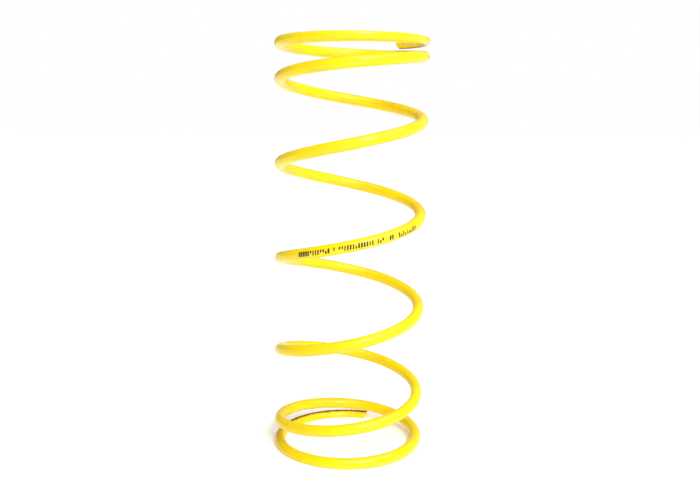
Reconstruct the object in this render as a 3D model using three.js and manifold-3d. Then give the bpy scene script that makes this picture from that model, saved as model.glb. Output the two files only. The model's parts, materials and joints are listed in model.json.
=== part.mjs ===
// Coil compression spring: one right-hand wound wire with closed, ground ends.
//
// The real spring is a single wire. It is divided here on upright planes through its axis, an eighth of a
// turn apart, into short rigid stretches that slide down past one another as the spring is compressed.
// Every stretch follows the same helix, so at rest together they are the whole wire.
//
// Millimetres, +Z up. The origin is the centre of the ground bottom end, which rests on Z = 0.

import * as THREE from "three";
import { mergeVertices } from "three/addons/utils/BufferGeometryUtils.js";
import Module from "manifold-3d";

// Driving dimensions.
const WIRE_DIAMETER = 4.2;
const INNER_DIAMETER = 48.5;
const FREE_LENGTH = 154;
const STRETCHES_PER_TURN = 8;
const STRETCH_COUNT = 55.4; // the last stretch, at the top tip, is shorter than the others
const BOTTOM_TIP_ANGLE = THREE.MathUtils.degToRad(73.5); // anticlockwise from +X, seen from above

// From each tip the wire first runs for closedTurns at closedShare of the open pitch, and then opens out by
// smoothstep over openingTurns. tipHeight is how far the wire's centre at the tip is from the ground face.
const BOTTOM_END = { closedShare: 0.037, closedTurns: 0.137, openingTurns: 2.37, tipHeight: 0.4 };
const TOP_END = { closedShare: 0.083, closedTurns: 0.311, openingTurns: 2.26, tipHeight: 0.25 };

// How the wire is divided.
const CUT_GAP = 0.3; // between two neighbouring stretches
const END_COIL_STRETCHES = 9; // an end coil and the eighth of a turn that its own tip lies under
const SECTION_SIDES = 12;
const STEPS_PER_STRETCH = 6;

// The finish: a glossy lemon-yellow powder coat.
const COAT_COLOR = 0xfde632;
const COAT_ROUGHNESS = 0.25;
const COAT_METALNESS = 0;

const WIRE_RADIUS = WIRE_DIAMETER / 2;
const COIL_RADIUS = (INNER_DIAMETER + WIRE_DIAMETER) / 2;
const TURNS = STRETCH_COUNT / STRETCHES_PER_TURN;
const FULL_TURN = 2 * Math.PI;

// Integral of smoothstep, as a share of the turns that it takes.
function openedShare(progress) {
  return progress < 1 ? progress ** 3 - progress ** 4 / 2 : progress - 0.5;
}

// The turns at full pitch that would climb as high as the wire does in a number of turns from a tip.
function climbInOpenTurns(end, turns) {
  const opening = Math.max(0, turns - end.closedTurns) / end.openingTurns;
  return end.closedShare * turns + (1 - end.closedShare) * end.openingTurns * openedShare(opening);
}

const HALF_TURNS = TURNS / 2;
const OPEN_PITCH = (FREE_LENGTH - BOTTOM_END.tipHeight - TOP_END.tipHeight)
  / (climbInOpenTurns(BOTTOM_END, HALF_TURNS) + climbInOpenTurns(TOP_END, HALF_TURNS));

// Height of the wire's centre at a number of turns from the bottom tip.
function wireHeight(turns) {
  return turns < HALF_TURNS
    ? BOTTOM_END.tipHeight + OPEN_PITCH * climbInOpenTurns(BOTTOM_END, turns)
    : FREE_LENGTH - TOP_END.tipHeight - OPEN_PITCH * climbInOpenTurns(TOP_END, TURNS - turns);
}

// How steeply the wire climbs there: rise over run.
function wireSlope(turns) {
  const end = turns < HALF_TURNS ? BOTTOM_END : TOP_END;
  const fromTip = turns < HALF_TURNS ? turns : TURNS - turns;
  const opened = THREE.MathUtils.smoothstep(fromTip - end.closedTurns, 0, end.openingTurns);
  const pitch = OPEN_PITCH * (end.closedShare + (1 - end.closedShare) * opened);
  return pitch / (FULL_TURN * COIL_RADIUS);
}

// The round section of the wire. Its x runs up the spring and its y away from the spring's axis.
function wireSection() {
  return new THREE.Shape().absarc(0, 0, WIRE_RADIUS, 0, FULL_TURN);
}

// A straight bar of the wire's section, bent round the spring's axis from one number of turns to another.
// Each of its sections lies in a plane through the axis, so both end faces stand upright, and the section
// is stretched upwards there by as much as the wire's slope needs to stay round across its own length.
function bentBar(fromTurns, toTurns) {
  const length = toTurns - fromTurns;
  const bar = new THREE.ExtrudeGeometry(wireSection(), {
    depth: length,
    steps: Math.max(1, Math.round(STEPS_PER_STRETCH * length * STRETCHES_PER_TURN)),
    curveSegments: SECTION_SIDES / 2,
    bevelEnabled: false,
  });
  const corners = bar.getAttribute("position");
  for (let i = 0; i < corners.count; i += 1) {
    const turns = fromTurns + corners.getZ(i);
    const angle = BOTTOM_TIP_ANGLE + FULL_TURN * turns;
    const radius = COIL_RADIUS + corners.getY(i);
    const height = wireHeight(turns) + corners.getX(i) * Math.hypot(1, wireSlope(turns));
    corners.setXYZ(i, radius * Math.cos(angle), radius * Math.sin(angle), height);
  }
  return bar;
}

// The slab between the two ground end faces.
function lengthSlab() {
  const width = 2 * INNER_DIAMETER;
  return new THREE.BoxGeometry(width, width, FREE_LENGTH).translate(0, 0, FREE_LENGTH / 2);
}

const manifold = await Module();
manifold.setup();

function toSolid(geometry) {
  const bare = geometry.clone().deleteAttribute("normal").deleteAttribute("uv");
  const merged = mergeVertices(bare);
  return new manifold.Manifold(
    new manifold.Mesh({
      numProp: 3,
      vertProperties: merged.getAttribute("position").array,
      triVerts: new Uint32Array(merged.getIndex().array),
    }),
  );
}

function toGeometry(solid) {
  const mesh = solid.getMesh();
  const geometry = new THREE.BufferGeometry();
  geometry.setAttribute("position", new THREE.BufferAttribute(mesh.vertProperties, mesh.numProp));
  geometry.setIndex(new THREE.BufferAttribute(mesh.triVerts, 1));
  geometry.computeVertexNormals();
  return geometry;
}

// Both ends of the spring are ground flat and square to its axis.
function groundFlat(geometry) {
  return toGeometry(toSolid(geometry).intersect(toSolid(lengthSlab())));
}

function coatMaterial() {
  return new THREE.MeshStandardMaterial({
    color: COAT_COLOR,
    roughness: COAT_ROUGHNESS,
    metalness: COAT_METALNESS,
  });
}

// The stretches are counted from the bottom. Those of the two end coils are numbered along the coil, and
// those between by their working coil and their place in it.
function stretchName(index, count) {
  if (index < END_COIL_STRETCHES) return `bottom_end_coil_${index + 1}`;
  const topStart = count - END_COIL_STRETCHES;
  if (index >= topStart) return `top_end_coil_${index - topStart + 1}`;
  const working = index - END_COIL_STRETCHES;
  const coil = Math.floor(working / STRETCHES_PER_TURN) + 1;
  return `working_coil_${coil}_${(working % STRETCHES_PER_TURN) + 1}`;
}

function stretch(index, count) {
  const halfGap = CUT_GAP / 2 / (FULL_TURN * COIL_RADIUS);
  const from = index / STRETCHES_PER_TURN;
  const to = Math.min(index + 1, STRETCH_COUNT) / STRETCHES_PER_TURN;
  const isBottomTip = index === 0;
  const isTopTip = index === count - 1;
  const bar = bentBar(isBottomTip ? from : from + halfGap, isTopTip ? to : to - halfGap);
  const mesh = new THREE.Mesh(groundFlat(bar), coatMaterial());
  mesh.name = stretchName(index, count);
  return mesh;
}

function coilSpring() {
  const spring = new THREE.Group();
  const count = Math.ceil(STRETCH_COUNT);
  for (let index = 0; index < count; index += 1) spring.add(stretch(index, count));
  return spring;
}

export default coilSpring();
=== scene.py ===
"""Coil compression spring: one round wire, wound right-handed, with closed and ground ends.

The wire is one helix. Its two end coils each ride on their own body. Between them the wire is made in
stretches of an eighth of a turn, each a separate mesh. Sizes are in metres, with +Z up the spring's axis.
"""
import json
import math

import bmesh
import bpy
from mathutils import Euler, Matrix, Vector


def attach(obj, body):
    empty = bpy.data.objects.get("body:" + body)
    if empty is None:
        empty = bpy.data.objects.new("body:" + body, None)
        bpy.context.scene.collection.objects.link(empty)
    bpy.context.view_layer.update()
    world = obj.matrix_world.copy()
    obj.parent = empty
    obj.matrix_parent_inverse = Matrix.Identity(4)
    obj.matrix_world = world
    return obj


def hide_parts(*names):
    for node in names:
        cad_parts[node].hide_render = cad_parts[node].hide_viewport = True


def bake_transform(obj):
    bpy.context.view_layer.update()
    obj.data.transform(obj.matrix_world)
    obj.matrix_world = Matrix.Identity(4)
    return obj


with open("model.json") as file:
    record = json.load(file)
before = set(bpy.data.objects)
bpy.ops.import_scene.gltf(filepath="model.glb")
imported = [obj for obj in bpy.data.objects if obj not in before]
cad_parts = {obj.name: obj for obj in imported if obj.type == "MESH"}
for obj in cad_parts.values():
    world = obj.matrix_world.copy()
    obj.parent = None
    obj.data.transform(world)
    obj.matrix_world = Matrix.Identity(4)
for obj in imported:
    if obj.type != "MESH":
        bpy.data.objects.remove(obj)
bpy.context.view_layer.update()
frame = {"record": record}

bl_info = {
    "name": "Coil Compression Spring",
    "version": (1, 0, 0),
    "blender": (4, 5, 0),
    "location": "View3D > Sidebar > Spring",
    "description": "Builds a powder-coated compression spring with closed, ground ends",
    "category": "Add Mesh",
}

RECORD = frame["record"]
MM = 0.001
FULL_TURN = 2 * math.pi

# How the wire is divided, as the frame's nodes are.
STRETCHES_PER_TURN = 8
END_COIL_STRETCHES = 9
BOTTOM_BODY = "bottom_end_coil"
TOP_BODY = "top_end_coil"

# How finely the surface is made.
SIDES = 64
STEPS_PER_STRETCH = 48
ROUNDING_STEPS = 6
SEAM_DISTANCE = 0.002 * MM
SHARP_ANGLE = math.radians(38)

# The cut face of each tip leans by this share of its height, and the wire follows it over a short reach.
TIP_LEAN = 0.3
LEAN_REACH = 3 * MM

# A ground face: how near to it the coat is worn, and how much is ground away before the face shows.
EDGE_WEAR_REACH = 0.45 * MM
FACE_START = 0.02 * MM
FACE_BLEND = 0.10 * MM

# The ticks of the printed row. Widths are shares of one tick's space, from its middle to its edge.
BOLD_TICKS_LENGTH = 4 * MM
BOLD_HALF_WIDTH = 0.41
THIN_HALF_WIDTH = 0.22
HALF_WIDTH_RANGE = 0.16
HIGH_TICKS = 0.2
HIGH_AND_LOW_TICKS = 0.4
SHORT_TICK_OFFSET = 0.4
FILLED_SPACES = 0.92
GAP_START = 0.67
GAP_END = 0.71
KIND_SEED = 3.5
WIDTH_SEED = 41.5

# The painted shade in the crevice beside each tip: its length in turns, and where it starts up the section,
# in wire radii.
BOTTOM_CREVICE_TURNS = 0.34
TOP_CREVICE_TURNS = 0.24
CREVICE_FADE_TURNS = 0.14
CREVICE_RIM = 0.81
CREVICE_SOFTNESS = 0.18
CREVICE_RAGGEDNESS = 0.24
CREVICE_COVER = 0.92

# Grain of each pattern in the finish, in features to the metre.
CLOUD_GRAIN = 95.0
PEEL_GRAIN = 620.0
RAGGED_GRAIN = 700.0
FINE_GRAIN = 1500.0
CHIP_GRAIN = 1900.0
GRINDING_GRAIN = 3600.0
INK_GRAIN = 5200.0

# Lines left by the grinding wheel run along Y. This is their width, as a share of their length.
GRINDING_LINE_WIDTH = 0.04

# How far each pattern stands out of the surface or is sunk into it, against the height of the orange peel.
PEEL_DEPTH = 0.035 * MM
FINE_HEIGHT = 0.25
BARE_DEPTH = 0.8
INK_HEIGHT = 0.2
GRINDING_HEIGHT = 0.9

# Roughness that ink and bare steel add to the coat's, and the clouds' part in how dull the coat is.
INK_ROUGHNESS = 0.12
BARE_ROUGHNESS = 0.18
CLOUD_DULLNESS = 0.65

# The colour sockets of a Mix node go by place, because its number sockets have the same names.
MIX_COLOR_A = 6
MIX_COLOR_B = 7
MIX_COLOR_RESULT = 2

# The studio is brightest on the right and dimmest on the left.
BRIGHT_SIDE = (0.9, -0.2, 0.0)
SIDE_CONTRAST = 0.6
SOFTBOX_DIRECTION = (0.35, -0.35, 1.0)
SOFTBOX_SPREAD = math.radians(60)
FRONT_LIGHT_PLACE = (0.20, -0.60, 0.50)
FRONT_LIGHT_SIZE = 0.25
FRONT_LIGHT_POWER = 3.0
FLOOR_REACH = 6.0


# Settings that a user may change.

class SpringSizes(bpy.types.PropertyGroup):
    """Sizes of the wire and the helix it is wound on."""
    wire_diameter: bpy.props.FloatProperty(
        name="Wire Diameter", description="Thickness of the coated wire",
        default=4.2 * MM, min=MM, unit="LENGTH")
    inner_diameter: bpy.props.FloatProperty(
        name="Inner Diameter", description="Bore of the spring",
        default=48.5 * MM, min=MM, unit="LENGTH")
    free_length: bpy.props.FloatProperty(
        name="Free Length", description="Distance between the two ground faces, unloaded",
        default=154 * MM, min=MM, unit="LENGTH")
    stretch_count: bpy.props.FloatProperty(
        name="Stretches", description="Length of the wire in eighths of a turn", default=55.4, min=20)
    tip_angle: bpy.props.FloatProperty(
        name="Bottom Tip Angle", description="Where the bottom tip is, anticlockwise from +X",
        default=math.radians(73.5), subtype="ANGLE", unit="ROTATION")
    tip_rounding: bpy.props.FloatProperty(
        name="Tip Rounding", description="Rounding of the coated edge round each cut tip",
        default=0.35 * MM, min=0, unit="LENGTH")
    ground_softness: bpy.props.FloatProperty(
        name="Ground Edge Softness", description="Width over which the coat softens a ground face's edge",
        default=0.45 * MM, min=0, unit="LENGTH")


class EndLaw(bpy.types.PropertyGroup):
    """How the pitch closes down towards one tip."""
    closed_share: bpy.props.FloatProperty(
        name="Closed Share", description="Pitch at the tip, as a share of the open pitch",
        default=0.037, min=0, max=1, subtype="FACTOR")
    closed_turns: bpy.props.FloatProperty(
        name="Closed Turns", description="Turns from the tip that keep the closed pitch",
        default=0.137, min=0)
    opening_turns: bpy.props.FloatProperty(
        name="Opening Turns", description="Turns over which the pitch opens", default=2.37, min=0.1)
    tip_height: bpy.props.FloatProperty(
        name="Tip Height", description="Distance of the wire's centre from the ground face at the tip",
        default=0.4 * MM, min=0, unit="LENGTH")


class SpringFinish(bpy.types.PropertyGroup):
    """Colours and surface of the powder coat, the ink and the bare steel."""
    coat_color: bpy.props.FloatVectorProperty(
        name="Coat Color", description="Lemon-yellow powder coat",
        default=(0.88, 0.67, 0.001, 1), size=4, min=0, max=1, subtype="COLOR")
    thin_coat_color: bpy.props.FloatVectorProperty(
        name="Thin Coat Color", description="Powder coat where it lies thinner",
        default=(0.87, 0.60, 0.001, 1), size=4, min=0, max=1, subtype="COLOR")
    ink_color: bpy.props.FloatVectorProperty(
        name="Ink Color", description="Black marking ink",
        default=(0.022, 0.016, 0.012, 1), size=4, min=0, max=1, subtype="COLOR")
    steel_color: bpy.props.FloatVectorProperty(
        name="Steel Color", description="Bare steel where the coat is rubbed off",
        default=(0.30, 0.29, 0.27, 1), size=4, min=0, max=1, subtype="COLOR")
    # Painted shade: a dark brown painted along the narrow gap beside each tip, where the next coil shades
    # the wire.
    crevice_shade_color: bpy.props.FloatVectorProperty(
        name="Crevice Shade Color", description="Brown painted shade in the narrow gap beside each tip",
        default=(0.13, 0.050, 0.004, 1), size=4, min=0, max=1, subtype="COLOR")
    smooth_roughness: bpy.props.FloatProperty(
        name="Smooth Roughness", description="Roughness where the coat flowed out best",
        default=0.20, min=0, max=1, subtype="FACTOR")
    dull_roughness: bpy.props.FloatProperty(
        name="Dull Roughness", description="Roughness where the coat is dullest",
        default=0.34, min=0, max=1, subtype="FACTOR")


class Marking(bpy.types.PropertyGroup):
    """The printed row of ticks on the outer face of one coil."""
    start_turns: bpy.props.FloatProperty(
        name="Start", description="Turns from the bottom tip to the first tick", default=3.436)
    length: bpy.props.FloatProperty(
        name="Length", description="Length of the row along the wire", default=44.0 * MM, unit="LENGTH")
    height: bpy.props.FloatProperty(
        name="Height", description="Height of a full tick", default=1.75 * MM, unit="LENGTH")
    spacing: bpy.props.FloatProperty(
        name="Spacing", description="Distance from one tick to the next", default=0.9 * MM, unit="LENGTH")


class StudioSettings(bpy.types.PropertyGroup):
    """The camera's place and the brightness of the studio."""
    camera_distance: bpy.props.FloatProperty(
        name="Camera Distance", description="From the spring's axis, along the floor",
        default=310.5 * MM, unit="LENGTH")
    camera_height: bpy.props.FloatProperty(
        name="Camera Height", description="Above the floor", default=125.7 * MM, unit="LENGTH")
    camera_pitch: bpy.props.FloatProperty(
        name="Camera Pitch", description="How far the camera looks down",
        default=math.radians(8.10), subtype="ANGLE", unit="ROTATION")
    camera_roll: bpy.props.FloatProperty(
        name="Camera Roll", description="How far the camera leans",
        default=math.radians(0.67), subtype="ANGLE", unit="ROTATION")
    lens: bpy.props.FloatProperty(
        name="Lens", description="Focal length on a 36 mm wide sensor", default=42.63, min=1)
    shift: bpy.props.FloatProperty(
        name="Vertical Shift", description="Lens shift, as a share of the picture's width", default=-0.0229)
    world_strength: bpy.props.FloatProperty(
        name="World Strength", description="Brightness of the surroundings as a light",
        default=0.40, min=0)
    sun_strength: bpy.props.FloatProperty(
        name="Softbox Strength", description="Brightness of the large softbox overhead", default=2.3, min=0)


SETTINGS = {
    "spring_sizes": SpringSizes,
    "spring_bottom_end": EndLaw,
    "spring_top_end": EndLaw,
    "spring_finish": SpringFinish,
    "spring_marking": Marking,
    "spring_studio": StudioSettings,
}


# The helix.

def wire_radius(sizes):
    return sizes.wire_diameter / 2


def coil_radius(sizes):
    return (sizes.inner_diameter + sizes.wire_diameter) / 2


def all_turns(sizes):
    return sizes.stretch_count / STRETCHES_PER_TURN


def climb_in_open_turns(end, turns):
    """The turns at full pitch that would climb as high as the wire does in this many turns from a tip."""
    opening = max(0, turns - end.closed_turns) / end.opening_turns
    opened = opening ** 3 - opening ** 4 / 2 if opening < 1 else opening - 0.5
    return end.closed_share * turns + (1 - end.closed_share) * end.opening_turns * opened


def open_pitch(scene):
    """The pitch of the middle coils that makes the spring exactly its free length."""
    half = all_turns(scene.spring_sizes) / 2
    ends = (scene.spring_bottom_end, scene.spring_top_end)
    climbed = sum(climb_in_open_turns(end, half) for end in ends)
    return (scene.spring_sizes.free_length - sum(end.tip_height for end in ends)) / climbed


def wire_plan_point(sizes, turns):
    """The wire's centre at a number of turns from the bottom tip, seen from above."""
    angle = sizes.tip_angle + FULL_TURN * turns
    return Vector((math.cos(angle), math.sin(angle), 0)) * coil_radius(sizes)


# Formulas written as node trees.

class Formula:
    """A number in a node tree. Arithmetic on it adds Math nodes."""

    def __init__(self, tree, socket):
        self.tree = tree
        self.socket = socket

    def math(self, operation, *others):
        node = self.tree.nodes.new("ShaderNodeMath")
        node.operation = operation
        for slot, value in zip(node.inputs, (self, *others)):
            if isinstance(value, Formula):
                self.tree.links.new(value.socket, slot)
            else:
                slot.default_value = value
        return Formula(self.tree, node.outputs[0])

    def __add__(self, other):
        return self.math("ADD", other)

    def __sub__(self, other):
        return self.math("SUBTRACT", other)

    def __rsub__(self, other):
        return self.math("MULTIPLY", -1.0).math("ADD", other)

    def __mul__(self, other):
        return self.math("MULTIPLY", other)

    def __truediv__(self, other):
        return self.math("DIVIDE", other)

    __radd__ = __add__
    __rmul__ = __mul__

    def power(self, exponent):
        return self.math("POWER", exponent)

    def sine(self):
        return self.math("SINE")

    def cosine(self):
        return self.math("COSINE")

    def size(self):
        return self.math("ABSOLUTE")

    def at_least(self, other):
        return self.math("MAXIMUM", other)

    def at_most(self, other):
        return self.math("MINIMUM", other)

    def between_0_and_1(self):
        return self.at_least(0.0).at_most(1.0)

    def below(self, other):
        """1 where this is less than the other, and 0 elsewhere."""
        return self.math("LESS_THAN", other)

    def above(self, other):
        """1 where this is more than the other, and 0 elsewhere."""
        return self.math("GREATER_THAN", other)


def opened_share(progress):
    """Integral of smoothstep, as a share of the turns that it takes."""
    inside = progress.at_most(1.0)
    return inside.power(3.0) - inside.power(4.0) * 0.5 + (progress - 1.0).at_least(0.0)


def smoothstep(progress):
    inside = progress.between_0_and_1()
    return inside * inside * (3.0 - 2.0 * inside)


def climb_formula(turns, end):
    opening = (turns - end["closed_turns"]).at_least(0.0) / end["opening_turns"]
    opened = (1.0 - end["closed_share"]) * end["opening_turns"] * opened_share(opening)
    return end["closed_share"] * turns + opened


def pitch_share_formula(turns, end):
    opened = smoothstep((turns - end["closed_turns"]) / end["opening_turns"])
    return end["closed_share"] + (1.0 - end["closed_share"]) * opened


# The wire's node tree. Every stretch of the spring is this tree with other turns.

END_KEYS = ("closed_share", "closed_turns", "opening_turns", "tip_height")
WIRE_KEYS = (
    "start_turns", "end_turns", "start_rounding", "end_rounding", "start_share", "end_share",
    "wire_radius", "coil_radius", "free_length", "all_turns", "tip_angle", "open_pitch", "softness",
    *(f"{side}_{key}" for side in ("bottom", "top") for key in END_KEYS),
)


def input_label(key):
    return key.replace("_", " ").title()


def tree_inputs(tree):
    """Adds the wire's named inputs to the tree and returns them as formulas."""
    tree.interface.new_socket("Steps", in_out="INPUT", socket_type="NodeSocketInt")
    tree.interface.new_socket("Sides", in_out="INPUT", socket_type="NodeSocketInt")
    tree.interface.new_socket("Material", in_out="INPUT", socket_type="NodeSocketMaterial")
    for key in WIRE_KEYS:
        tree.interface.new_socket(input_label(key), in_out="INPUT", socket_type="NodeSocketFloat")
    tree.interface.new_socket("Geometry", in_out="OUTPUT", socket_type="NodeSocketGeometry")
    group = tree.nodes.new("NodeGroupInput")
    given = {key: Formula(tree, group.outputs[input_label(key)]) for key in WIRE_KEYS}
    for side in ("bottom", "top"):
        given[side] = {key: given[f"{side}_{key}"] for key in END_KEYS}
    return group, given


def grid_progress(tree, group):
    """A flat grid, one column for each step along the wire and one row for each side of its section."""
    grid = tree.nodes.new("GeometryNodeMeshGrid")
    grid.inputs["Size X"].default_value = 1
    grid.inputs["Size Y"].default_value = 1
    for label, slot in (("Steps", "Vertices X"), ("Sides", "Vertices Y")):
        one_more = Formula(tree, group.outputs[label]) + 1.0
        tree.links.new(one_more.socket, grid.inputs[slot])
    position = tree.nodes.new("GeometryNodeInputPosition")
    split = tree.nodes.new("ShaderNodeSeparateXYZ")
    tree.links.new(position.outputs[0], split.inputs[0])
    along = Formula(tree, split.outputs["X"]) + 0.5
    around = Formula(tree, split.outputs["Y"]) + 0.5
    return grid, along, around


def turns_and_inset(given, along):
    """Turns from the bottom tip, and how far the section is drawn in there by the rounding of a cut tip."""
    quarter = math.pi / 2
    circumference = given["coil_radius"] * FULL_TURN
    near_start = (1.0 - along / given["start_share"]).between_0_and_1() * quarter
    near_end = (1.0 - (1.0 - along) / given["end_share"]).between_0_and_1() * quarter
    free_share = 1.0 - given["start_share"] - given["end_share"]
    inside = ((along - given["start_share"]) / free_share).between_0_and_1()
    first = given["start_turns"] + given["start_rounding"] / circumference
    last = given["end_turns"] - given["end_rounding"] / circumference
    turns = first + (last - first) * inside
    turns = turns - given["start_rounding"] * near_start.sine() / circumference
    turns = turns + given["end_rounding"] * near_end.sine() / circumference
    inset = given["start_rounding"] * (1.0 - near_start.cosine())
    inset = inset + given["end_rounding"] * (1.0 - near_end.cosine())
    return turns, inset


def tip_lean(given, turns, rise):
    """Turns to add near a cut tip, where the shears left the upper side of the wire reaching further."""
    circumference = given["coil_radius"] * FULL_TURN
    past_start = (turns - given["start_turns"]) * circumference
    before_end = (given["end_turns"] - turns) * circumference
    near_start = (1.0 - past_start / LEAN_REACH).between_0_and_1() * given["start_share"].above(0.0)
    near_end = (1.0 - before_end / LEAN_REACH).between_0_and_1() * given["end_share"].above(0.0)
    return (near_end - near_start) * rise * TIP_LEAN / circumference


def centre_height_and_stretch(given, turns):
    """Height of the wire's centre, and how much taller than round its section is in an upright plane."""
    in_bottom_half = turns.below(given["all_turns"] * 0.5)
    from_top = given["all_turns"] - turns
    pitch = given["open_pitch"]
    low = given["bottom"]["tip_height"] + pitch * climb_formula(turns, given["bottom"])
    high = given["free_length"] - given["top"]["tip_height"] - pitch * climb_formula(from_top, given["top"])
    height = high + (low - high) * in_bottom_half
    low_share = pitch_share_formula(turns, given["bottom"])
    high_share = pitch_share_formula(from_top, given["top"])
    share = high_share + (low_share - high_share) * in_bottom_half
    slope = pitch * share / (given["coil_radius"] * FULL_TURN)
    return height, (slope * slope + 1.0).math("SQRT")


def store(tree, geometry, name, value):
    node = tree.nodes.new("GeometryNodeStoreNamedAttribute")
    node.data_type = "FLOAT"
    node.domain = "POINT"
    node.inputs["Name"].default_value = name
    tree.links.new(geometry, node.inputs["Geometry"])
    tree.links.new(value.socket, node.inputs["Value"])
    return node.outputs["Geometry"]


def wire_tree():
    """A stretch of coated wire on the spring's helix, open at its two ends."""
    tree = bpy.data.node_groups.new("Coil Wire", "GeometryNodeTree")
    group, given = tree_inputs(tree)
    grid, along, around = grid_progress(tree, group)
    turns, inset = turns_and_inset(given, along)
    height, stretch = centre_height_and_stretch(given, turns)

    # The section starts on the inside of the coil and runs round by way of its underside.
    section_angle = around * FULL_TURN
    radius = given["wire_radius"] - inset
    outward = (radius * section_angle.cosine()) * -1.0
    upward = (radius * section_angle.sine()) * -1.0
    round_height = height + upward * stretch
    from_floor = round_height.math("SMOOTH_MAX", inset, given["softness"])
    ground_height = from_floor.math("SMOOTH_MIN", given["free_length"] - inset, given["softness"])
    nearest_face = round_height.size().at_most((given["free_length"] - round_height).size())
    edge = (1.0 - nearest_face / EDGE_WEAR_REACH).between_0_and_1()
    face = smoothstep(((round_height - ground_height).size() - FACE_START) / FACE_BLEND)

    leaned = turns + tip_lean(given, turns, ground_height - height)
    angle = given["tip_angle"] + leaned * FULL_TURN
    reach = given["coil_radius"] + outward
    place = tree.nodes.new("ShaderNodeCombineXYZ")
    for slot, value in zip(place.inputs, (reach * angle.cosine(), reach * angle.sine(), ground_height)):
        tree.links.new(value.socket, slot)

    stored = grid.outputs["Mesh"]
    attributes = {
        "wire_turns": turns,
        "wire_up": upward,
        "wire_out": outward,
        "ground_edge": edge,
        "ground_face": face,
    }
    for name, value in attributes.items():
        stored = store(tree, stored, name, value)
    bend = tree.nodes.new("GeometryNodeSetPosition")
    tree.links.new(stored, bend.inputs["Geometry"])
    tree.links.new(place.outputs[0], bend.inputs["Position"])
    close = tree.nodes.new("GeometryNodeMergeByDistance")
    close.inputs["Distance"].default_value = SEAM_DISTANCE
    smooth = tree.nodes.new("GeometryNodeSetShadeSmooth")
    realize = tree.nodes.new("GeometryNodeRealizeInstances")
    paint = tree.nodes.new("GeometryNodeSetMaterial")
    output = tree.nodes.new("NodeGroupOutput")
    tree.links.new(bend.outputs["Geometry"], close.inputs["Geometry"])
    tree.links.new(close.outputs["Geometry"], smooth.inputs["Geometry"])
    tree.links.new(smooth.outputs["Geometry"], realize.inputs["Geometry"])
    tree.links.new(realize.outputs["Geometry"], paint.inputs["Geometry"])
    tree.links.new(group.outputs["Material"], paint.inputs["Material"])
    tree.links.new(paint.outputs["Geometry"], output.inputs["Geometry"])
    return tree


def wire_values(scene):
    """The tree inputs that are the same for every stretch."""
    sizes = scene.spring_sizes
    values = {
        "wire_radius": wire_radius(sizes),
        "coil_radius": coil_radius(sizes),
        "free_length": sizes.free_length,
        "all_turns": all_turns(sizes),
        "tip_angle": sizes.tip_angle,
        "open_pitch": open_pitch(scene),
        "softness": sizes.ground_softness,
    }
    for side, end in (("bottom", scene.spring_bottom_end), ("top", scene.spring_top_end)):
        for key in END_KEYS:
            values[f"{side}_{key}"] = getattr(end, key)
    return values


def close_ends(mesh):
    """Puts a flat face on each open end and marks the edges round it as sharp."""
    shape = bmesh.new()
    shape.from_mesh(mesh)
    open_edges = [edge for edge in shape.edges if edge.is_boundary]
    bmesh.ops.holes_fill(shape, edges=open_edges, sides=0)
    bmesh.ops.recalc_face_normals(shape, faces=shape.faces)
    for face in shape.faces:
        face.smooth = True
    shape.to_mesh(mesh)
    shape.free()
    mesh.set_sharp_from_angle(angle=SHARP_ANGLE)


def wire_piece(scene, name, first, last):
    """The wire from the start of one stretch to the start of another, as a plain mesh."""
    sizes = scene.spring_sizes
    is_bottom_tip = first == 0
    is_top_tip = last == sizes.stretch_count
    steps = round((last - first) * STEPS_PER_STRETCH) + ROUNDING_STEPS * (is_bottom_tip + is_top_tip)
    values = wire_values(scene)
    values["start_turns"] = first / STRETCHES_PER_TURN
    values["end_turns"] = last / STRETCHES_PER_TURN
    values["start_rounding"] = sizes.tip_rounding if is_bottom_tip else 0.0
    values["end_rounding"] = sizes.tip_rounding if is_top_tip else 0.0
    values["start_share"] = ROUNDING_STEPS / steps if is_bottom_tip else 0.0
    values["end_share"] = ROUNDING_STEPS / steps if is_top_tip else 0.0

    maker = bpy.data.objects.new(name + "_maker", bpy.data.meshes.new(name + "_maker"))
    scene.collection.objects.link(maker)
    modifier = maker.modifiers.new("Coil Wire", "NODES")
    modifier.node_group = bpy.data.node_groups.get("Coil Wire") or wire_tree()
    labelled = {input_label(key): value for key, value in values.items()}
    labelled.update({"Steps": steps, "Sides": SIDES, "Material": coat_material(scene)})
    for item in modifier.node_group.interface.items_tree:
        if item.in_out == "INPUT":
            modifier[item.identifier] = labelled[item.name]
    seen = maker.evaluated_get(bpy.context.evaluated_depsgraph_get())
    mesh = bpy.data.meshes.new_from_object(seen)
    bpy.data.objects.remove(maker)
    close_ends(mesh)
    mesh.name = name
    piece = bpy.data.objects.new(name, mesh)
    scene.collection.objects.link(piece)
    return piece


# Finishes.

def coat_material(scene):
    return bpy.data.materials.get("powder_coat_yellow") or make_coat(scene)


def noise(tree, place, scale, detail):
    node = tree.nodes.new("ShaderNodeTexNoise")
    node.inputs["Scale"].default_value = scale
    node.inputs["Detail"].default_value = detail
    tree.links.new(place, node.inputs["Vector"])
    return Formula(tree, node.outputs["Fac"])


def attribute(tree, name):
    node = tree.nodes.new("ShaderNodeAttribute")
    node.attribute_name = name
    return Formula(tree, node.outputs["Fac"])


def random_for(tree, number, seed):
    node = tree.nodes.new("ShaderNodeTexWhiteNoise")
    node.noise_dimensions = "1D"
    tree.links.new((number + seed).socket, node.inputs["W"])
    return Formula(tree, node.outputs["Value"])


def mix_color(tree, share, first, second):
    """Mixes two colours, each a tuple or another mix, by a formula."""
    node = tree.nodes.new("ShaderNodeMix")
    node.data_type = "RGBA"
    tree.links.new(share.socket, node.inputs["Factor"])
    for slot, value in ((node.inputs[MIX_COLOR_A], first), (node.inputs[MIX_COLOR_B], second)):
        if isinstance(value, bpy.types.NodeSocket):
            tree.links.new(value, slot)
        else:
            slot.default_value = value
    return node.outputs[MIX_COLOR_RESULT]


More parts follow.
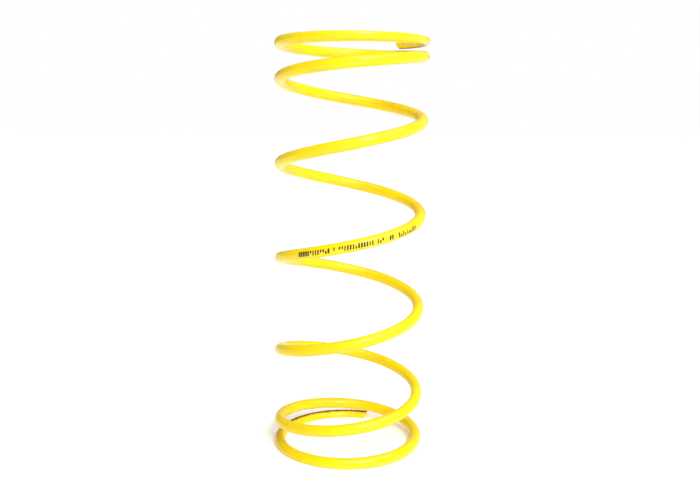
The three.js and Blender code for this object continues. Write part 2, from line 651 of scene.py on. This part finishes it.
def ink_share(tree, scene, place):
    """1 on the ink of the printed row of ticks, and 0 elsewhere. The ticks mean nothing.

    The row starts with a bold group and has a gap near its end. Some ticks are short, and high or low.
    """
    row = scene.spring_marking
    circumference = FULL_TURN * coil_radius(scene.spring_sizes)
    along = (attribute(tree, "wire_turns") - row.start_turns) * circumference
    up = attribute(tree, "wire_up") / (row.height / 2)
    spaces = along / row.spacing
    space = spaces.math("FLOOR")
    within = spaces - space
    kind = random_for(tree, space, KIND_SEED)
    half_width = THIN_HALF_WIDTH + HALF_WIDTH_RANGE * random_for(tree, space, WIDTH_SEED)
    is_bold = along.below(BOLD_TICKS_LENGTH)
    in_width = (within - 0.5).size().below(half_width.at_least(is_bold * BOLD_HALF_WIDTH))
    high_or_low = kind.below(HIGH_TICKS) * 2.0 - kind.below(HIGH_AND_LOW_TICKS)
    middle = high_or_low * (1.0 - is_bold) * SHORT_TICK_OFFSET
    in_height = (up - middle).size().below(1.0 - middle.size())
    is_tick = kind.below(FILLED_SPACES).at_least(is_bold)
    outside_gap = 1.0 - (along.below(row.length * GAP_END) - along.below(row.length * GAP_START))
    in_row = along.below(row.length) - along.below(0.0)
    on_front = 1.0 - attribute(tree, "wire_out").below(0.5 * wire_radius(scene.spring_sizes))
    patchy = 1.0 - 0.15 * smoothstep(noise(tree, place, INK_GRAIN, 2.0) * 4.0 - 1.9)
    return in_width * in_height * is_tick * outside_gap * in_row * on_front * patchy


def crevice_shade_share(tree, scene, place):
    """Painted shade: 1 deep in the narrow gap between each tip and the coil that it lies against, where
    that coil shades the wire, and 0 elsewhere.
    """
    from_bottom = attribute(tree, "wire_turns")
    from_top = all_turns(scene.spring_sizes) - from_bottom
    up = attribute(tree, "wire_up") / wire_radius(scene.spring_sizes)
    ragged = noise(tree, place, RAGGED_GRAIN, 3.0) * CREVICE_RAGGEDNESS - CREVICE_RAGGEDNESS / 2
    near_bottom = smoothstep((BOTTOM_CREVICE_TURNS - from_bottom) / CREVICE_FADE_TURNS)
    near_top = smoothstep((TOP_CREVICE_TURNS - from_top) / CREVICE_FADE_TURNS)
    upper_side = smoothstep((up + ragged - CREVICE_RIM) / CREVICE_SOFTNESS)
    lower_side = smoothstep((ragged - up - CREVICE_RIM) / CREVICE_SOFTNESS)
    return (near_bottom * upper_side).at_least(near_top * lower_side)


def grinding_lines(tree, place):
    """Fine straight lines that the grinding wheel leaves, still felt through the coat."""
    squeezed = tree.nodes.new("ShaderNodeMapping")
    squeezed.inputs["Scale"].default_value = (1.0, GRINDING_LINE_WIDTH, 0.0)
    tree.links.new(place, squeezed.inputs["Vector"])
    lines = noise(tree, squeezed.outputs["Vector"], GRINDING_GRAIN, 3.0)
    return lines * attribute(tree, "ground_face")


def make_coat(scene):
    """Glossy lemon-yellow powder coat, rubbed to steel along the ground edges, with a row of ink ticks and
    painted shade in the gap beside each tip.
    """
    finish = scene.spring_finish
    material = bpy.data.materials.new("powder_coat_yellow")
    material.use_nodes = True
    tree = material.node_tree
    shader = tree.nodes["Principled BSDF"]
    place = tree.nodes.new("ShaderNodeTexCoord").outputs["Object"]

    cloud = smoothstep(noise(tree, place, CLOUD_GRAIN, 3.0) * 2.2 - 0.6)
    fine = noise(tree, place, FINE_GRAIN, 3.0)
    chips = noise(tree, place, CHIP_GRAIN, 4.0)
    edge = attribute(tree, "ground_edge")
    bare = smoothstep((edge * 0.60 + chips - 1.03) * 9.0)
    ink = ink_share(tree, scene, place)
    crevice = crevice_shade_share(tree, scene, place)

    color = mix_color(tree, cloud, tuple(finish.coat_color), tuple(finish.thin_coat_color))
    color = mix_color(tree, ink, color, tuple(finish.ink_color))
    color = mix_color(tree, bare, color, tuple(finish.steel_color))
    # Painted shade: dark brown painted into the gap beside each tip.
    color = mix_color(tree, crevice * CREVICE_COVER, color, tuple(finish.crevice_shade_color))
    tree.links.new(color, shader.inputs["Base Color"])

    dullness = CLOUD_DULLNESS * cloud + (1.0 - CLOUD_DULLNESS) * fine
    roughness = finish.smooth_roughness + (finish.dull_roughness - finish.smooth_roughness) * dullness
    roughness = (roughness + ink * INK_ROUGHNESS + bare * BARE_ROUGHNESS).between_0_and_1()
    tree.links.new(roughness.socket, shader.inputs["Roughness"])
    tree.links.new((bare * 0.9).socket, shader.inputs["Metallic"])

    peel = tree.nodes.new("ShaderNodeBump")
    peel.inputs["Strength"].default_value = 0.5
    peel.inputs["Distance"].default_value = PEEL_DEPTH
    surface = noise(tree, place, PEEL_GRAIN, 2.0) + fine * FINE_HEIGHT - bare * BARE_DEPTH
    surface = surface + ink * INK_HEIGHT + grinding_lines(tree, place) * GRINDING_HEIGHT
    tree.links.new(surface.socket, peel.inputs["Height"])
    tree.links.new(peel.outputs["Normal"], shader.inputs["Normal"])
    shader.inputs["Specular IOR Level"].default_value = 0.32
    shader.inputs["Coat Weight"].default_value = 0.1
    shader.inputs["Coat Roughness"].default_value = 0.10
    return material


def floor_material():
    """A white table top, lit faintly from below so that shadows on it stay pale."""
    material = bpy.data.materials.new("studio_floor")
    material.use_nodes = True
    shader = material.node_tree.nodes["Principled BSDF"]
    shader.inputs["Base Color"].default_value = (0.95, 0.95, 0.95, 1)
    shader.inputs["Roughness"].default_value = 0.85
    shader.inputs["Emission Color"].default_value = (1, 1, 1, 1)
    shader.inputs["Emission Strength"].default_value = 0.16
    return material


# The spring's movement.

def node_name(index, count):
    """Name of the frame's node for a stretch, counted from the bottom tip."""
    if index < END_COIL_STRETCHES:
        return f"{BOTTOM_BODY}_{index + 1}"
    top_start = count - END_COIL_STRETCHES
    if index >= top_start:
        return f"{TOP_BODY}_{index - top_start + 1}"
    working = index - END_COIL_STRETCHES
    return f"working_coil_{working // STRETCHES_PER_TURN + 1}_{working % STRETCHES_PER_TURN + 1}"


def squeeze_shares(count):
    """How far each cut of the working wire moves, as a share of the top end coil's movement."""
    ratios = {entry["joint"]: entry["ratio"] for entry in RECORD["behaviour"]["couplings"]}
    first = END_COIL_STRETCHES
    last = count - END_COIL_STRETCHES
    bodies = [ratios["squeeze_" + node_name(index, count)] for index in range(first, last)]
    between = [(low + high) / 2 for low, high in zip(bodies, bodies[1:])]
    return dict(zip(range(first, last + 1), [0.0, *between, 1.0]))


def inverse_smoothstep(share):
    return 0.5 - math.sin(math.asin(1 - 2 * share) / 3)


def bend_between_ends(piece, sizes, index, shares):
    """Works out how a stretch's two cuts would move by their own shares of the squeeze, without moving
    them, and bakes the stretch's place into its mesh.
    """
    low = inverse_smoothstep(shares[index])
    high = inverse_smoothstep(shares[index + 1])
    first = wire_plan_point(sizes, index / STRETCHES_PER_TURN)
    last = wire_plan_point(sizes, (index + 1) / STRETCHES_PER_TURN)
    whole = (last - first) / (high - low)
    start = first - whole * low
    tuple(start + whole)
    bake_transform(piece)


# Operators: one for each group of pieces, and one for the stage.

class SPRING_OT_bottom_end_coil(bpy.types.Operator):
    """Build the closed bottom end coil, ground flat underneath"""
    bl_idname = "spring.bottom_end_coil"
    bl_label = "Bottom End Coil"

    def execute(self, context):
        scene = context.scene
        count = math.ceil(scene.spring_sizes.stretch_count)
        piece = wire_piece(scene, "end_coil_bottom", 0, END_COIL_STRETCHES)
        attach(piece, BOTTOM_BODY)
        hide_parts(*[node_name(index, count) for index in range(END_COIL_STRETCHES)])
        return {"FINISHED"}


class SPRING_OT_working_coils(bpy.types.Operator):
    """Build the coils that work, an eighth of a turn at a time"""
    bl_idname = "spring.working_coils"
    bl_label = "Working Coils"

    def execute(self, context):
        scene = context.scene
        count = math.ceil(scene.spring_sizes.stretch_count)
        shares = squeeze_shares(count)
        for index in range(END_COIL_STRETCHES, count - END_COIL_STRETCHES):
            node = node_name(index, count)
            piece = wire_piece(scene, "wire_" + node, index, index + 1)
            bend_between_ends(piece, scene.spring_sizes, index, shares)
            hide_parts(node)
        return {"FINISHED"}


class SPRING_OT_top_end_coil(bpy.types.Operator):
    """Build the closed top end coil, ground flat on top"""
    bl_idname = "spring.top_end_coil"
    bl_label = "Top End Coil"

    def execute(self, context):
        scene = context.scene
        length = scene.spring_sizes.stretch_count
        count = math.ceil(length)
        first = count - END_COIL_STRETCHES
        piece = wire_piece(scene, "end_coil_top", first, length)
        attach(piece, TOP_BODY)
        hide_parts(*[node_name(index, count) for index in range(first, count)])
        return {"FINISHED"}


def area_light(scene, name, place, size, power):
    """A soft square light that faces the middle of the spring."""
    light = bpy.data.lights.new(name, "AREA")
    light.size = size
    light.energy = power
    holder = bpy.data.objects.new(name, light)
    holder.location = place
    aim = Vector((0, 0, scene.spring_sizes.free_length / 2)) - holder.location
    holder.rotation_euler = aim.to_track_quat("-Z", "Y").to_euler()
    scene.collection.objects.link(holder)


def soft_sun(scene, name, direction, strength, spread):
    """Even light from far away, as a large softbox gives."""
    light = bpy.data.lights.new(name, "SUN")
    light.energy = strength
    light.angle = spread
    holder = bpy.data.objects.new(name, light)
    holder.rotation_euler = Vector(direction).to_track_quat("Z", "Y").to_euler()
    scene.collection.objects.link(holder)


def white_surroundings(tree, strength):
    """A white backdrop. What lights the spring is dimmer than that, and brightest on the right."""
    sky = tree.nodes["Background"]
    sky.inputs["Color"].default_value = (1, 1, 1, 1)
    sight = Formula(tree, tree.nodes.new("ShaderNodeLightPath").outputs["Is Camera Ray"])
    facing = tree.nodes.new("ShaderNodeVectorMath")
    facing.operation = "DOT_PRODUCT"
    tree.links.new(tree.nodes.new("ShaderNodeTexCoord").outputs["Generated"], facing.inputs[0])
    facing.inputs[1].default_value = BRIGHT_SIDE
    glow = strength * (1.0 + SIDE_CONTRAST * Formula(tree, facing.outputs["Value"]))
    tree.links.new((glow + (1.0 - glow) * sight).socket, sky.inputs["Strength"])


class SPRING_OT_stage(bpy.types.Operator):
    """Build the floor, the lights and the camera"""
    bl_idname = "spring.stage"
    bl_label = "Stage"

    def execute(self, context):
        scene = context.scene
        studio = scene.spring_studio
        mesh = bpy.data.meshes.new("studio_floor")
        corners = [(x * FLOOR_REACH, y * FLOOR_REACH, 0) for x, y in ((-1, -1), (1, -1), (1, 1), (-1, 1))]
        mesh.from_pydata(corners, [], [(0, 1, 2, 3)])
        mesh.materials.append(floor_material())
        floor = bpy.data.objects.new("studio_floor", mesh)
        scene.collection.objects.link(floor)

        world = bpy.data.worlds.new("studio_world")
        world.use_nodes = True
        white_surroundings(world.node_tree, studio.world_strength)
        scene.world = world
        scene.view_settings.view_transform = "Standard"
        soft_sun(scene, "overhead_light", SOFTBOX_DIRECTION, studio.sun_strength, SOFTBOX_SPREAD)
        area_light(scene, "front_light", FRONT_LIGHT_PLACE, FRONT_LIGHT_SIZE, FRONT_LIGHT_POWER)

        camera = bpy.data.objects.new("camera", bpy.data.cameras.new("camera"))
        camera.data.sensor_width = 36
        camera.data.lens = studio.lens
        camera.data.shift_y = studio.shift
        camera.data.clip_start = 0.01
        tilt = Euler((math.pi / 2 - studio.camera_pitch, 0, 0)).to_matrix()
        lean = Matrix.Rotation(studio.camera_roll, 3, "Z")
        camera.rotation_euler = (tilt @ lean).to_euler()
        camera.location = (0, -studio.camera_distance, studio.camera_height)
        scene.collection.objects.link(camera)
        scene.camera = camera
        return {"FINISHED"}


class SPRING_PT_panel(bpy.types.Panel):
    """Lists the spring's settings and the steps that build it"""
    bl_idname = "SPRING_PT_panel"
    bl_label = "Coil Spring"
    bl_space_type = "VIEW_3D"
    bl_region_type = "UI"
    bl_category = "Spring"

    def draw(self, context):
        layout = self.layout
        for name in SETTINGS:
            settings = getattr(context.scene, name)
            box = layout.box()
            box.label(text=name.removeprefix("spring_").replace("_", " ").title())
            for key in settings.bl_rna.properties.keys():
                if key not in ("rna_type", "name"):
                    box.prop(settings, key)
        for operator in OPERATORS:
            layout.operator(operator.bl_idname)


OPERATORS = (
    SPRING_OT_bottom_end_coil,
    SPRING_OT_working_coils,
    SPRING_OT_top_end_coil,
    SPRING_OT_stage,
)
CLASSES = (SpringSizes, EndLaw, SpringFinish, Marking, StudioSettings, *OPERATORS, SPRING_PT_panel)


def register():
    for cls in CLASSES:
        bpy.utils.register_class(cls)
    for name, settings in SETTINGS.items():
        setattr(bpy.types.Scene, name, bpy.props.PointerProperty(type=settings))


def unregister():
    for name in SETTINGS:
        delattr(bpy.types.Scene, name)
    for cls in reversed(CLASSES):
        bpy.utils.unregister_class(cls)


def close_top_end(scene):
    """The top end stays closed a little longer than the bottom one."""
    end = scene.spring_top_end
    end.closed_share = 0.083
    end.closed_turns = 0.311
    end.opening_turns = 2.26
    end.tip_height = 0.25 * MM


def main():
    register()
    close_top_end(bpy.context.scene)
    bpy.ops.spring.bottom_end_coil()
    bpy.ops.spring.working_coils()
    bpy.ops.spring.top_end_coil()
    bpy.ops.spring.stage()


if __name__ == "__main__":
    main()
